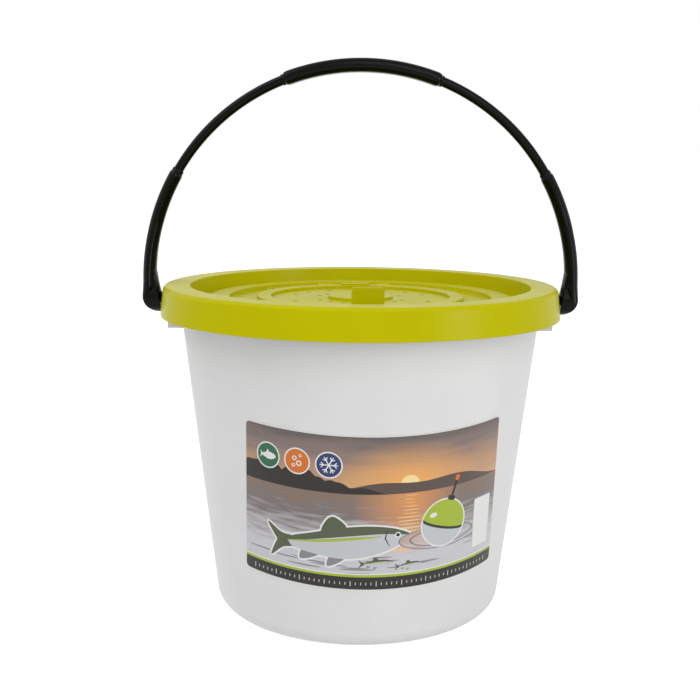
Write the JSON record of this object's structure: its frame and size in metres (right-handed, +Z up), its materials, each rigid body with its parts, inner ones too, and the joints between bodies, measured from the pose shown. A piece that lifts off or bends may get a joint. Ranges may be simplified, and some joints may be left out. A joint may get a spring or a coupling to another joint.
{
  "type": "insulated bait bucket",
  "caption": "Round insulated bait bucket: tapered pail with a foam liner, a deep-skirted lid with a hinged vented door, and a swinging arched bail with a moulded grip.",
  "frame": {"origin": "centre of the base, on the surface that the bucket stands on", "axes": "+Z up, +X along the pivots of the bail, -Y towards the front with the label and the door's finger tab"},
  "size_m": [0.3686, 0.3362, 0.4609],
  "materials": {
    "white_plastic": "satin white polypropylene",
    "liner_foam": "white expanded polystyrene with a fine bead grain",
    "lime_plastic": "semi-gloss yellow-green polypropylene",
    "black_plastic": "semi-gloss black polypropylene",
    "label_film": null
  },
  "bodies": {
    "pail": {"outer_pail": "white_plastic", "foam_liner": "liner_foam", "foam_floor": "liner_foam", "label": "label_film", "aerator_holder": "white_plastic"},
    "bail": {"bail_rod": "black_plastic", "hand_grip": "black_plastic", "bail_leg_right": "black_plastic", "bail_leg_left": "black_plastic"},
    "lid": {"lid_cover": "lime_plastic"},
    "door": {"access_door": "lime_plastic"}
  },
  "joints": [
    {"name": "bail_swing", "type": "hinge", "parent": "pail", "child": "bail", "pos_m": [0, 0, 0.262], "axis": [1, 0, 0], "range_deg": [-131, 131]},
    {"name": "lid_lift", "type": "slide", "parent": "pail", "child": "lid", "axis": [0, 0, 1], "range_m": [0, 0.04]},
    {"name": "door_open", "type": "hinge", "parent": "lid", "child": "door", "pos_m": [-0.00508, 0.09687, 0.2616], "axis": [-0.9986, -0.0523, 0], "range_deg": [0, 110]}
  ]
}
